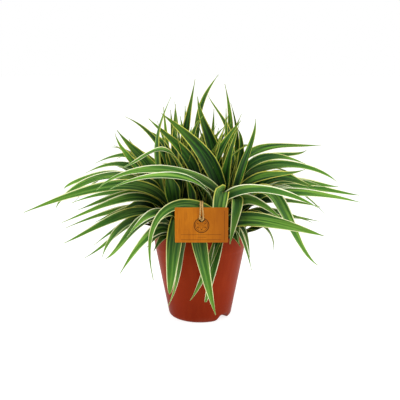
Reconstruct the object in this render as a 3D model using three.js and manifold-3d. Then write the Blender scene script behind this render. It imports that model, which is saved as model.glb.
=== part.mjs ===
// Potted spider plant: a tapered nursery pot filled with soil, eight rosettes of arching strap
// leaves, and a small wooden tag that hangs on a loop of twine over one of the front leaves.
// Millimetres, +Z up, -Y is the front. The origin is on the floor at the middle of the pot's foot.

import * as THREE from 'three';
import { mergeVertices } from 'three/addons/utils/BufferGeometryUtils.js';
import Module from 'manifold-3d';

const wasm = await Module();
wasm.setup();

// Driving dimensions
const GAP = 0.3;

const POT = {
  height: 114,
  rimRadius: 60,
  bandHeight: 21,
  bandStep: 0.9,
  shoulderRadius: 57,
  footRadius: 41,
  restRadius: 35,
  wall: 1.8,
  floor: 2.4,
  sides: 36,
};
const NOTCH = { bearings: [48, 228], width: 28, height: 8, depth: 14 };
const DRAINS = { count: 6, radius: 3.5, circle: 23 };

const SOIL = { edge: 93, mound: 96, sides: 20 };

const TAG = { width: 63, height: 42, thickness: 2.4, corner: 1, at: [1.8, -87, 141], lean: 2 };
const TAG_HOLE = { radius: 3.6, above: 7 };

const TWINE = { radius: 0.9, apart: 1.1, apartAtHole: 2.1, sides: 6, steps: 40 };

const STEM = { radius: 11, sunk: 16, rise: 13, sides: 10, hole: 11.3 };
const BLADE = {
  thickness: 0.8,
  fold: 0.42,
  baseShare: 0.2,
  widestAt: 0.5,
  tipWidth: 0.9,
  rootRadius: 7.5,
  rootRise: 6,
  rootSpread: 8,
  bentClear: 0.7,
  freeFrom: 0.1,
};

const CROWNS = {
  front: { at: [0, -32], seeded: 0, bearing: 0, spread: 60 },
  front_right: { at: [25, -27], seeded: 0, bearing: 60, spread: 60 },
  front_left: { at: [-25, -27], seeded: 0, bearing: -60, spread: 60 },
  right: { at: [34, -1], seeded: 4, bearing: 125, spread: 80 },
  left: { at: [-34, -1], seeded: 4, bearing: -125, spread: 80 },
  middle: { at: [0, -4], seeded: 3, bearing: 180, spread: 200 },
  back_right: { at: [20, 27], seeded: 7, bearing: 145, spread: 150 },
  back_left: { at: [-20, 27], seeded: 6, bearing: 215, spread: 150 },
};

// The leaf that carries the tag on its loop of twine grows from the crown at the front right. As
// for the other leaves below: the points that the midrib passes after its crown, the last one
// being the tip, then the widest width and how far the face is turned to the front.
const CARRIER = [[[7, -74, 156.5], [-43, -84, 155], [-56, -86, 72]], 12, 0.7];

// The other leaves that show from the front
const SHOWN_LEAVES = {
  front: [
    [[[-5, -68, 129], [4, -80, 87], [19, -82, 27]], 19, 0],
    [[[-17, -64, 121], [-24, -68, 85], [-39, -72, 35]], 11, 0],
    [[[-12, -56, 168], [-17, -52, 193]], 18, 0.5],
  ],
  front_right: [
    [[[42, -56, 139], [90, -84, 143], [146, -92, 129]], 18, 0.8],
    [[[32, -52, 166], [83, -66, 178], [141, -70, 158]], 15, 0.45],
    [[[16, -40, 176], [-55, -54, 202], [-125, -60, 178]], 14, 0.45],
    [[[77, -46, 175], [109, -54, 136], [145, -56, 82]], 16, 0.6],
    [[[49, -56, 163], [101, -70, 141]], 16, 0.6],
    [[[27, -52, 175], [22, -76, 152], [17, -79, 120]], 18, 0.5],
    [[[26, -60, 122], [10, -66, 83], [-12, -72, 42]], 14, 0],
    [[[41, -44, 133], [47, -64, 112]], 12, 0.3],
    [[[44, -50, 163], [43, -68, 150], [36, -74, 113]], 14, 0.6],
    [[[38, -52, 118], [50, -64, 104]], 12, 0.3],
    [[[58, -34, 131], [83, -46, 124], [90, -50, 97]], 10, 0],
    [[[50, -40, 127], [61, -58, 93]], 9, 0.2],
    [[[45, -52, 128], [63, -70, 80]], 9, 0.2],
    [[[28, -53, 127], [15, -64, 70], [6, -66, 38]], 11, 0],
  ],
  front_left: [
    [[[-27, -66, 139], [-33, -76, 91], [-37, -78, 52]], 19, 0],
    [[[-36, -50, 172], [-42, -44, 199]], 24, 0.6],
    [[[-57, -34, 157], [-102, -48, 161], [-168, -60, 137]], 14, 0.45],
    [[[-37, -56, 138], [-62, -62, 118]], 16, 0.3],
    [[[-63, -34, 144], [-113, -46, 135], [-167, -56, 110]], 14, 0.45],
    [[[-52, -62, 130], [-96, -78, 80]], 14, 0.6],
    [[[-49, -66, 152], [-87, -84, 127]], 13, 0.5],
    [[[-60, -48, 140], [-89, -58, 118], [-116, -62, 91]], 14, 0.45],
    [[[-44, -50, 121], [-65, -58, 105]], 12, 0.2],
    [[[-40, -50, 119], [-57, -66, 101]], 14, 0.3],
    [[[-35, -56, 149], [-61, -76, 130]], 15, 0.5],
  ],
  right: [
    [[[22, -22, 180], [-5, -30, 228], [-47, -26, 266]], 20, 0.9],
    [[[32, -18, 169], [37, -22, 211], [48, -20, 250]], 14, 0.7],
    [[[48, -6, 167], [53, 0, 215], [47, 0, 244]], 12, 0.6],
    [[[48, -34, 183], [62, -34, 227], [68, -24, 259]], 13, 0.6],
    [[[53, -2, 184], [90, -2, 208], [134, 0, 199]], 14, 0.45],
    [[[60, 12, 181], [124, 14, 194], [176, 14, 173]], 14, 0.45],
    [[[53, -22, 172], [90, -30, 190], [129, -34, 198]], 14, 0.45],
    [[[66, 24, 163], [128, 34, 169], [183, 40, 161]], 16, 0.45],
    [[[65, -8, 155], [135, -12, 163], [202, -14, 152]], 14, 0.45],
    [[[66, -24, 153], [149, -36, 151]], 13, 0.45],
    [[[72, 8, 134], [145, 6, 121]], 13, 0.45],
    [[[78, -18, 176], [110, -28, 185], [141, -32, 176]], 17, 0.5],
    [[[77, -30, 164], [102, -34, 152]], 14, 0.5],
    [[[63, -20, 138], [97, -24, 124]], 13, 0.4],
  ],
  left: [
    [[[-58, -30, 169], [-124, -44, 176], [-213, -56, 149]], 17, 0.55],
    [[[-54, -2, 176], [-76, 0, 209], [-105, 6, 241]], 18, 0.7],
    [[[-51, -20, 188], [-53, -20, 236], [-36, -8, 284]], 9, 0.2],
    [[[-44, 14, 202], [-96, 30, 255]], 11, 0.4],
    [[[-64, -16, 173], [-90, -20, 212], [-105, -20, 241]], 11, 0.5],
    [[[-78, 14, 186], [-149, 24, 182]], 13, 0.45],
    [[[-78, -2, 176], [-139, -4, 182], [-173, -4, 167]], 13, 0.45],
    [[[-83, -20, 182], [-145, -26, 178], [-180, -30, 147]], 13, 0.45],
    [[[-65, 6, 151], [-105, 10, 155], [-158, 12, 136]], 14, 0.45],
    [[[-64, -16, 145], [-132, -22, 128]], 14, 0.45],
    [[[-68, -4, 132], [-136, -6, 94]], 13, 0.45],
    [[[-71, 12, 128], [-104, 14, 107], [-151, 10, 72]], 13, 0.45],
    [[[-70, -30, 135], [-102, -34, 121], [-122, -40, 88]], 12, 0.45],
    [[[-61, -40, 178], [-95, -44, 174]], 16, 0.5],
    [[[-60, -30, 152], [-101, -40, 143]], 15, 0.5],
  ],
  middle: [
    [[[22, 6, 184], [10, 0, 237], [-3, 0, 284]], 17, 0.9],
    [[[-4, -12, 183], [-28, -16, 225], [-64, -10, 258]], 15, 0.8],
    [[[12, -2, 179], [31, -6, 226], [51, -8, 255]], 13, 0.6],
    [[[-4, 16, 215], [3, 14, 273], [23, 10, 310]], 11, 0.3],
    [[[-13, 4, 204], [4, -4, 261]], 12, 0.7],
    [[[-37, 22, 204], [-74, 34, 236]], 10, 0.3],
    [[[13, 22, 194], [18, 34, 265]], 9, 0.3],
    [[[-5, -34, 178], [-66, -44, 190]], 12, 0.2],
    [[[-31, -10, 204], [-63, -14, 210], [-99, -16, 193]], 12, 0.15],
    [[[6, -46, 174], [-46, -58, 194], [-107, -64, 179]], 13, 0.3],
    [[[6, -20, 163], [4, -16, 185]], 15, 0.5],
    [[[-31, -2, 182], [-44, 2, 220]], 17, 0.6],
    [[[21, 14, 192], [18, 18, 235]], 17, 0.7],
  ],
  back_right: [
    [[[42, 24, 201], [29, 26, 252], [10, 30, 283]], 9, 0.3],
    [[[35, 40, 182], [40, 44, 238], [32, 44, 296]], 11, 0.6],
    [[[48, 26, 194], [39, 22, 274]], 11, 0.5],
    [[[51, 40, 190], [101, 50, 212], [161, 50, 214]], 13, 0.45],
    [[[61, 58, 181], [110, 76, 197], [145, 84, 203]], 12, 0.45],
    [[[70, 46, 156], [151, 62, 155], [216, 66, 144]], 14, 0.45],
    [[[74, 30, 123], [159, 44, 113]], 13, 0.45],
    [[[34, 10, 187], [41, 14, 229]], 17, 0.7],
  ],
  back_left: [
    [[[-21, 20, 195], [-16, 14, 248], [-6, 6, 304]], 13, 0.8],
    [[[-50, 44, 175], [-73, 50, 200], [-94, 56, 222]], 12, 0.6],
    [[[-69, 30, 175], [-108, 40, 215]], 9, 0.45],
    [[[-32, 54, 187], [-39, 66, 260]], 11, 0.5],
    [[[-19, 60, 194], [-20, 78, 264]], 10, 0.5],
    [[[-66, 30, 194], [-138, 44, 192]], 13, 0.45],
    [[[-61, 60, 186], [-113, 76, 192]], 12, 0.45],
    [[[-81, 50, 166], [-148, 66, 170]], 12, 0.45],
    [[[-81, 36, 151], [-173, 52, 136]], 13, 0.45],
    [[[-73, 24, 136], [-178, 30, 107]], 13, 0.45],
    [[[-16, 8, 190], [-21, 10, 232]], 17, 0.6],
    [[[-42, 14, 181], [-55, 20, 215]], 15, 0.5],
  ],
};

const FILL_SEED = 2027;
const TRIES = { all: 40, shownStrict: 8, filledStrict: 30 };
const FILL = {
  outerReach: 155,
  innerReach: 45,
  outerTip: 20,
  innerTip: 165,
  outerCrest: 72,
  innerCrest: 95,
  width: [12, 18],
};

const MATERIALS = {
  pot: new THREE.MeshStandardMaterial({ color: 0x9c3a20, roughness: 0.42, metalness: 0 }),
  soil: new THREE.MeshStandardMaterial({ color: 0x2c1f17, roughness: 0.95, metalness: 0 }),
  leaf: new THREE.MeshStandardMaterial({ color: 0x3c7030, roughness: 0.5, metalness: 0 }),
  tag: new THREE.MeshStandardMaterial({ color: 0xb8701c, roughness: 0.7, metalness: 0 }),
  twine: new THREE.MeshStandardMaterial({ color: 0xc9b48a, roughness: 0.95, metalness: 0 }),
};

const plant = new THREE.Group();

function addMesh(name, solid, material) {
  const mesh = new THREE.Mesh(geometryOf(solid), material);
  mesh.name = name;
  plant.add(mesh);
}

// Solids and meshes

function solidFrom(positions, triangles) {
  const mesh = new wasm.Mesh({
    numProp: 3,
    vertProperties: new Float32Array(positions),
    triVerts: new Uint32Array(triangles),
  });
  return new wasm.Manifold(mesh);
}

function solidOf(geometry) {
  const bare = geometry.clone();
  bare.deleteAttribute('normal');
  bare.deleteAttribute('uv');
  const merged = mergeVertices(bare, 1e-4);
  const index = merged.index.array;
  const triangles = [];
  for (let i = 0; i < index.length; i += 3) {
    const [a, b, c] = [index[i], index[i + 1], index[i + 2]];
    if (a !== b && b !== c && c !== a) triangles.push(a, b, c);
  }
  return solidFrom(merged.attributes.position.array, triangles);
}

function geometryOf(solid) {
  const mesh = solid.getMesh();
  const geometry = new THREE.BufferGeometry();
  geometry.setAttribute('position', new THREE.BufferAttribute(mesh.vertProperties, 3));
  geometry.setIndex(new THREE.BufferAttribute(mesh.triVerts, 1));
  geometry.computeVertexNormals();
  return geometry;
}

// A profile of [radius, height] pairs, from the axis round to the axis, turned about +Z.
function turned(profile, sides) {
  const points = profile.map(([radius, height]) => new THREE.Vector2(radius, height));
  const lathe = new THREE.LatheGeometry(points, sides);
  return solidOf(lathe.rotateX(Math.PI / 2));
}

// A bearing is measured in degrees from the front, -Y, towards the right, +X.
function outward(bearing) {
  const angle = THREE.MathUtils.degToRad(bearing);
  return new THREE.Vector3(Math.sin(angle), -Math.cos(angle), 0);
}

// Keeps the largest body, so a sealed hollow is filled and a loose scrap is dropped.
function oneBody(solid) {
  const bodies = solid.decompose();
  bodies.sort((a, b) => b.volume() - a.volume());
  return bodies[0];
}

// Pot

function potSolid() {
  const { height, rimRadius, bandHeight, bandStep, shoulderRadius, footRadius } = POT;
  const { restRadius, wall, floor, sides } = POT;
  const bandFoot = height - bandHeight;
  const footCorner = [
    [restRadius, 0],
    [restRadius + 3.4, 1],
    [footRadius - 0.8, 3.4],
    [footRadius, 6.4],
  ];
  const outside = [
    [0, 0],
    ...footCorner,
    [shoulderRadius, bandFoot - 2],
    [shoulderRadius + bandStep, bandFoot],
    [rimRadius, height - 1],
    [rimRadius - 0.5, height],
  ];
  const inside = [
    [rimRadius - wall, height],
    [rimRadius - wall - 1, height - 1.5],
    [shoulderRadius + bandStep - wall - 1.2, bandFoot + 1],
    [shoulderRadius - wall, bandFoot - 3],
    [footRadius - wall, 7],
    [restRadius, floor],
    [0, floor],
  ];
  let pot = turned([...outside, ...inside], sides);
  for (const bearing of NOTCH.bearings) pot = pot.subtract(notchCutter(bearing));
  for (let i = 0; i < DRAINS.count; i += 1) {
    pot = pot.subtract(drainCutter((i * 360) / DRAINS.count));
  }
  return pot;
}

// A low soft arch that runs out through the corner of the foot.
function notchCutter(bearing) {
  const { width, height, depth } = NOTCH;
  const arch = new THREE.Shape();
  arch.moveTo(-width / 2, -2);
  arch.lineTo(-width / 2, 0);
  arch.bezierCurveTo(-width / 3, 0, -width / 3, height, -width / 7, height);
  arch.lineTo(width / 7, height);
  arch.bezierCurveTo(width / 3, height, width / 3, 0, width / 2, 0);
  arch.lineTo(width / 2, -2);
  const bar = new THREE.ExtrudeGeometry(arch, {
    depth: 2 * depth,
    bevelEnabled: false,
    curveSegments: 6,
  });
  bar.rotateX(Math.PI / 2);
  bar.translate(0, -(POT.restRadius - depth / 2), 0);
  bar.rotateZ(THREE.MathUtils.degToRad(bearing));
  return solidOf(bar);
}

function drainCutter(bearing) {
  const hole = new THREE.CylinderGeometry(DRAINS.radius, DRAINS.radius, 4 * POT.floor, 12);
  hole.rotateX(Math.PI / 2);
  hole.translate(...outward(bearing).multiplyScalar(DRAINS.circle));
  return solidOf(hole);
}

// Soil, with a plain blind hole for each crown's stem

function soilSolid() {
  const { shoulderRadius, footRadius, restRadius, wall, floor, height, bandHeight } = POT;
  const bandFoot = height - bandHeight;
  const shoulder = shoulderRadius - wall - 2 * GAP;
  const profile = [
    [0, floor + GAP],
    [restRadius - 2 * GAP, floor + GAP],
    [footRadius - wall - 2 * GAP, 7.4],
    [shoulder, bandFoot - 3],
    [shoulder, SOIL.edge - 2],
    [shoulder - 2, SOIL.edge],
    [shoulder * 0.7, SOIL.mound - 0.8],
    [0, SOIL.mound],
  ];
  let soil = turned(profile, SOIL.sides);
  for (const crown of Object.values(CROWNS)) {
    const depth = STEM.sunk + GAP;
    const hole = new THREE.CylinderGeometry(STEM.hole, STEM.hole, 2 * depth, STEM.sides);
    hole.rotateX(Math.PI / 2);
    hole.translate(crown.at[0], crown.at[1], SOIL.mound);
    soil = soil.subtract(solidOf(hole));
  }
  return soil;
}

// Tag

function tagPlaced(geometry) {
  geometry.rotateX(Math.PI / 2 - THREE.MathUtils.degToRad(TAG.lean));
  geometry.translate(...TAG.at);
  return solidOf(geometry);
}

function tagSolid() {
  const { width, height, thickness, corner } = TAG;
  const [x, y] = [width / 2, height / 2];
  const outline = new THREE.Shape();
  outline.moveTo(-x + corner, -y);
  outline.lineTo(x - corner, -y);
  outline.absarc(x - corner, -y + corner, corner, -Math.PI / 2, 0, false);
  outline.absarc(x - corner, y - corner, corner, 0, Math.PI / 2, false);
  outline.absarc(-x + corner, y - corner, corner, Math.PI / 2, Math.PI, false);
  outline.absarc(-x + corner, -y + corner, corner, Math.PI, 1.5 * Math.PI, false);
  const hole = new THREE.Path();
  hole.absarc(0, TAG_HOLE.above, TAG_HOLE.radius, 0, 2 * Math.PI, true);
  outline.holes.push(hole);
  const plate = new THREE.ExtrudeGeometry(outline, {
    depth: thickness,
    bevelEnabled: false,
    curveSegments: 4,
  });
  plate.translate(0, 0, -thickness / 2);
  return tagPlaced(plate);
}

// Twine: one closed loop, wound twice through the tag's hole and over the leaf that carries it

function twineSolid(carrier) {
  const route = twineRoute(carrier);
  const positions = [];
  const triangles = [];
  const { radius, sides, steps } = TWINE;
  for (let i = 0; i < steps; i += 1) {
    const centre = route.getPoint(i / steps);
    const along = route.getTangent(i / steps);
    const side = new THREE.Vector3(1, 0, 0).cross(along).normalize();
    const across = along.clone().cross(side).normalize();
    for (let k = 0; k < sides; k += 1) {
      const angle = (2 * Math.PI * k) / sides;
      const point = centre.clone();
      point.addScaledVector(side, radius * Math.cos(angle));
      point.addScaledVector(across, radius * Math.sin(angle));
      positions.push(...point);
      const here = i * sides;
      const next = ((i + 1) % steps) * sides;
      const turn = (k + 1) % sides;
      triangles.push(here + k, here + turn, next + turn);
      triangles.push(here + k, next + turn, next + k);
    }
  }
  return solidFrom(positions, triangles);
}

// It goes up the front of the tag, where the strands draw together, over the tag's top edge and
// the leaf, down behind the leaf, back under it, and down behind the tag into the hole.
function twineRoute(carrier) {
  const [x, y, z] = TAG.at;
  const { radius, apart, apartAtHole } = TWINE;
  const stand = TAG.thickness / 2 + radius + 0.6;
  const [front, back] = [y - stand, y + stand];
  const hole = z + TAG_HOLE.above;
  const tagTop = z + TAG.height / 2;
  const { top, low, near, far } = carrier;
  const points = [];
  for (const side of [1, -1]) {
    const strand = x + side * apart;
    const loose = x + side * apartAtHole;
    points.push([loose, front, hole + 1.2]);
    points.push([mix(loose, strand, 0.3), front, hole + 5]);
    points.push([mix(loose, strand, 0.7), front, tagTop - 3]);
    points.push([strand, front + 0.3, tagTop + 1.4]);
    points.push([strand, mix(front, near, 0.5), tagTop + 2.2]);
    points.push([strand, near, top - 0.8]);
    points.push([strand, mix(near, far, 0.5), top]);
    points.push([strand, far, top - 2]);
    points.push([strand, far, low]);
    points.push([strand, mix(far, back, 0.3), low - 1.8]);
    points.push([strand, back + 0.6, hole + 2.8]);
    points.push([strand, back, hole + 1.2]);
    points.push([x, y, hole - 0.4 + 1.25 * side]);
  }
  const curve = points.map((point) => new THREE.Vector3(...point));
  return new THREE.CatmullRomCurve3(curve, true, 'catmullrom', 0.5);
}

// Leaves

// The midrib is the curve through its points at equal steps, from the crown to the tip.
function midribAt(points, t) {
  const last = points.length - 1;
  const sum = new THREE.Vector3();
  points.forEach((point, i) => {
    let weight = 1;
    for (let j = 0; j <= last; j += 1) {
      if (j !== i) weight *= (t * last - j) / (i - j);
    }
    sum.addScaledVector(point, weight);
  });
  return sum;
}

function alongAt(points, t) {
  const step = 0.01;
  return midribAt(points, t + step).sub(midribAt(points, t - step)).normalize();
}

// Share of the full width: narrow and stem-like at the crown, widest half way, then a long taper
// to the tip.
function widthShare(t) {
  if (t < BLADE.widestAt) {
    const rise = Math.sin((Math.PI / 2) * (t / BLADE.widestAt));
    return BLADE.baseShare + (1 - BLADE.baseShare) * rise ** 1.8;
  }
  const fall = (t - BLADE.widestAt) / (1 - BLADE.widestAt);
  return 1 - fall ** 2;
}

// The blade's side and face directions at t. The face turns towards the front along the leaf.
function frameAt(leaf, t) {
  const along = alongAt(leaf.points, t);
  const reach = leaf.points[leaf.points.length - 1].clone().sub(leaf.points[0]).setZ(0);
  const level = new THREE.Vector3(-reach.y, reach.x, 0).normalize();
  const side = level.addScaledVector(along, -level.dot(along)).normalize();
  const face = along.clone().cross(side);
  if (leaf.turn > 0) {
    const wanted = Math.atan2(-side.y, -face.y);
    side.applyAxisAngle(along, leaf.turn * Math.min(1, 3 * t) * -wanted);
    face.copy(along).cross(side);
  }
  return { along, side, face };
}

function bladeStations(points) {
  let bend = 0;
  const samples = 8;
  for (let i = 0; i < samples; i += 1) {
    const here = alongAt(points, i / samples);
    bend += here.angleTo(alongAt(points, (i + 1) / samples));
  }
  return Math.min(6, 3 + Math.round(bend / 0.7));
}

// A blade is a shallow channel: a left margin, the midrib and a right margin on each face. The
// room it needs is the same blade with some clearance all round.
function bladeSolid(leaf, from, clearance) {
  const steps = bladeStations(leaf.points);
  const positions = [];
  const triangles = [];
  const first = Math.ceil(from * steps);
  for (let i = first; i <= steps; i += 1) {
    const t = i / steps;
    const centre = midribAt(leaf.points, t);
    const { side, face } = frameAt(leaf, t);
    const half = Math.max(BLADE.tipWidth, leaf.width * widthShare(t)) / 2 + clearance;
    const lift = half * BLADE.fold + clearance;
    const under = BLADE.thickness + 2 * clearance;
    const section = [
      [-half, lift],
      [0, clearance],
      [half, lift],
      [half, lift - under],
      [0, clearance - under],
      [-half, lift - under],
    ];
    for (const [sideways, up] of section) {
      const point = centre.clone().addScaledVector(side, sideways).addScaledVector(face, up);
      positions.push(...point);
    }
  }
  const rings = steps - first;
  // Two quads a side, split alike on the upper and the lower face, and one for each margin.
  const strips = [
    [0, 1, 0],
    [1, 2, 0],
    [2, 3, 0],
    [3, 4, 1],
    [4, 5, 1],
    [5, 0, 0],
  ];
  for (let i = 0; i < rings; i += 1) {
    for (const [a, b, flip] of strips) {
      const [p, q] = [i * 6 + a, i * 6 + b];
      const [r, s] = [p + 6, q + 6];
      if (flip) triangles.push(p, r, q, q, r, s);
      else triangles.push(p, s, q, p, r, s);
    }
  }
  const end = rings * 6;
  for (const [a, b, c, d] of [[0, 1, 4, 5], [1, 2, 3, 4]]) {
    triangles.push(a, b, c, a, c, d);
    triangles.push(end + a, end + c, end + b, end + a, end + d, end + c);
  }
  return solidFrom(positions, triangles);
}

// The same random numbers for the same seed, between 0 and 1.
function randomFrom(seed) {
  let state = seed;
  return () => {
    state = (state * 16807) % 2147483647;
    return state / 2147483647;
  };
}

const random = randomFrom(FILL_SEED);

// A leaf grows from the stem on the side that it leans to, an upright one from nearer the top.
function rootOf(crown, towards) {
  const root = new THREE.Vector3(crown.at[0], crown.at[1], SOIL.mound + BLADE.rootRise);
  const lean = towards.clone().sub(root).normalize();
  const out = lean.clone().setZ(0);
  root.addScaledVector(out, BLADE.rootRadius);
  return root.setZ(root.z + BLADE.rootSpread * (lean.z - 0.6));
}

function mix(a, b, share) {
  return a + (b - a) * share;
}

// A shown leaf, shifted a little more in depth at each try after the first.
function shownLeaf(crown, row, attempt) {
  const [places, width, turn] = row;
  const shifts = [random() - 0.5, random() - 0.5, random() - 0.5];
  const amount = attempt === 0 ? 0 : 5 + 1.6 * attempt;
  const points = places.map(([x, y, z], i) => {
    const depth = amount * (shifts[0] + (shifts[1] * i) / places.length);
    const lift = 0.2 * amount * shifts[2] - 0.2 * depth;
    return new THREE.Vector3(x, y + depth, z + lift);
  });
  return { points: [rootOf(crown, points[0]), ...points], width, turn };
}

// A leaf that fills the clump: inner ones stand up, outer ones reach out and arch over.
function fillingLeaf(crown) {
  const out = outward(crown.bearing + crown.spread * (random() - 0.5));
  const inner = random();
  const reach = mix(FILL.outerReach, FILL.innerReach, inner) * (0.8 + 0.4 * random());
  const tip = mix(FILL.outerTip, FILL.innerTip, inner) + 40 * (random() - 0.5);
  const crest = mix(FILL.outerCrest, FILL.innerCrest, inner) + 20 * (random() - 0.5);
  const width = mix(FILL.width[0], FILL.width[1], random());
  const base = new THREE.Vector3(crown.at[0], crown.at[1], SOIL.mound);
  const points = [
    base.clone().addScaledVector(out, 0.45 * reach).setZ(SOIL.mound + crest),
    base.clone().addScaledVector(out, reach).setZ(SOIL.mound + tip),
  ];
  return { points: [rootOf(crown, points[0]), ...points], width, turn: 0 };
}

function boxesMeet(a, b) {
  return [0, 1, 2].every((k) => a.min[k] < b.max[k] && b.min[k] < a.max[k]);
}

function clears(solid, others) {
  const box = solid.boundingBox();
  return others.every((other) => {
    if (!boxesMeet(box, other.box)) return true;
    const shared = solid.intersect(other.solid);
    const clear = shared.isEmpty();
    shared.delete();
    return clear;
  });
}

function boxed(solid) {
  return { solid, box: solid.boundingBox() };
}

// Every leaf keeps clear of what is not its own crown. It also keeps clear of the free part of
// its own crown's leaves, unless none of the strict tries does.
function grow(crownName, makeLeaf, strictTries) {
  const crown = CROWNS[crownName];
  const strangers = [...fixed];
  for (const [name, leaves] of Object.entries(placed)) {
    if (name !== crownName) strangers.push(...leaves.map((one) => one.whole));
  }
  const siblings = placed[crownName].map((one) => one.free);
  for (let attempt = 0; attempt < TRIES.all; attempt += 1) {
    const leaf = makeLeaf(crown, attempt);
    const wide = bladeSolid(leaf, 0, BLADE.bentClear);
    const wideFree = bladeSolid(leaf, BLADE.freeFrom, BLADE.bentClear);
    const loose = attempt >= strictTries;
    const fits = clears(wide, strangers) && (loose || clears(wideFree, siblings));
    wide.delete();
    wideFree.delete();
    if (!fits) continue;
    const whole = boxed(bladeSolid(leaf, 0, 0));
    const free = boxed(bladeSolid(leaf, BLADE.freeFrom, 0));
    placed[crownName].push({ whole, free });
    return;
  }
}

function stemSolid(crown) {
  const { radius, sunk, rise, sides } = STEM;
  const profile = [
    [0, -sunk],
    [radius * 0.8, -sunk],
    [radius, -sunk * 0.6],
    [radius, rise * 0.3],
    [radius * 0.75, rise * 0.75],
    [0, rise],
  ];
  return turned(profile, sides).translate(crown.at[0], crown.at[1], SOIL.mound);
}

// The room that the carrying leaf takes where the loop of twine goes round it.
function carrierCrossing(blade) {
  const { radius, apart } = TWINE;
  const slab = new THREE.BoxGeometry(2 * (apart + radius), 400, 400);
  slab.translate(...TAG.at);
  const { min, max } = blade.intersect(solidOf(slab)).boundingBox();
  const clear = radius + GAP;
  return {
    top: max[2] + clear,
    low: min[2],
    near: min[1] - clear,
    far: max[1] + clear,
  };
}

const pot = potSolid();
const soil = soilSolid();
const tag = tagSolid();
addMesh('pot', pot, MATERIALS.pot);
addMesh('soil', soil, MATERIALS.soil);
addMesh('tag', tag, MATERIALS.tag);

const fixed = [pot, soil, tag].map(boxed);
const placed = Object.fromEntries(Object.keys(CROWNS).map((name) => [name, []]));

function growShown(crownName, row) {
  grow(crownName, (crown, attempt) => shownLeaf(crown, row, attempt), TRIES.shownStrict);
}

growShown('front_right', CARRIER);

const twine = twineSolid(carrierCrossing(placed.front_right[0].whole.solid));
addMesh('twine_loop', twine, MATERIALS.twine);
fixed.push(boxed(twine));
for (const [name, rows] of Object.entries(SHOWN_LEAVES)) {
  for (const row of rows) growShown(name, row);
}
for (const [name, crown] of Object.entries(CROWNS)) {
  for (let i = 0; i < crown.seeded; i += 1) {
    grow(name, fillingLeaf, TRIES.filledStrict);
  }
}
for (const [name, crown] of Object.entries(CROWNS)) {
  const leaves = placed[name].map((one) => one.whole.solid);
  const fused = wasm.Manifold.union([stemSolid(crown), ...leaves]);
  addMesh(`crown_${name}`, oneBody(fused), MATERIALS.leaf);
}

export default plant;
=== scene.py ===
"""Potted spider plant: the looks of the pot, the soil, the leaves, the wooden tag and its twine.

Everything is in metres in the shared frame: +Z up, -Y the front, the origin under the pot's foot.
The leaves follow the same rule as the solids they replace: the same places, the same seed and the
same order of draws. A try is kept where its tip is found in the crown that the frame holds.
"""

import math

import bmesh
import bpy
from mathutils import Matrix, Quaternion, Vector
from mathutils.kdtree import KDTree


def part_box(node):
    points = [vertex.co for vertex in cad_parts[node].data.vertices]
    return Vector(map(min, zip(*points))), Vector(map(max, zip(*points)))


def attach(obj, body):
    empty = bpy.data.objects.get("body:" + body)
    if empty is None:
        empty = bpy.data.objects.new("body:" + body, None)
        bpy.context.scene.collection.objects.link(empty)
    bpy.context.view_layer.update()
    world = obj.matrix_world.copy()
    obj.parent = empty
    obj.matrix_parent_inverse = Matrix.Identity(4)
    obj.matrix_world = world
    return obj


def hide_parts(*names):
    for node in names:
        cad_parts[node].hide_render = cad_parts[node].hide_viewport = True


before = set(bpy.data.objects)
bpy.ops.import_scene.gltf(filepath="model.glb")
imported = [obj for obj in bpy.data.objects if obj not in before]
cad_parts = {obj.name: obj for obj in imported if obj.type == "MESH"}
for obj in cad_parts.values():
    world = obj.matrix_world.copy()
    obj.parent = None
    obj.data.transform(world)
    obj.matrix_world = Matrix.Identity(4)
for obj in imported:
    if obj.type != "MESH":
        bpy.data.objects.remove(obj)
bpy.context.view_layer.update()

MM = 0.001
TURN = 2 * math.pi


# Small helpers

def tint(code):
    """A colour as it is on screen, "#rrggbb", as the linear colour that a shader takes."""
    channels = [int(code[i:i + 2], 16) / 255 for i in (1, 3, 5)]
    linear = [c / 12.92 if c <= 0.04045 else ((c + 0.055) / 1.055) ** 2.4 for c in channels]
    return (*linear, 1.0)


def mix(a, b, share):
    return a + (b - a) * share


class Wire:
    """An output of a node. A sum or a product with it adds the node that works it out."""

    def __init__(self, graph, socket):
        self.graph = graph
        self.socket = socket

    def __add__(self, other):
        return self.graph.math("ADD", self, other)

    def __sub__(self, other):
        return self.graph.math("SUBTRACT", self, other)

    def __rsub__(self, other):
        return self.graph.math("SUBTRACT", other, self)

    def __mul__(self, other):
        return self.graph.math("MULTIPLY", self, other)


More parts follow.
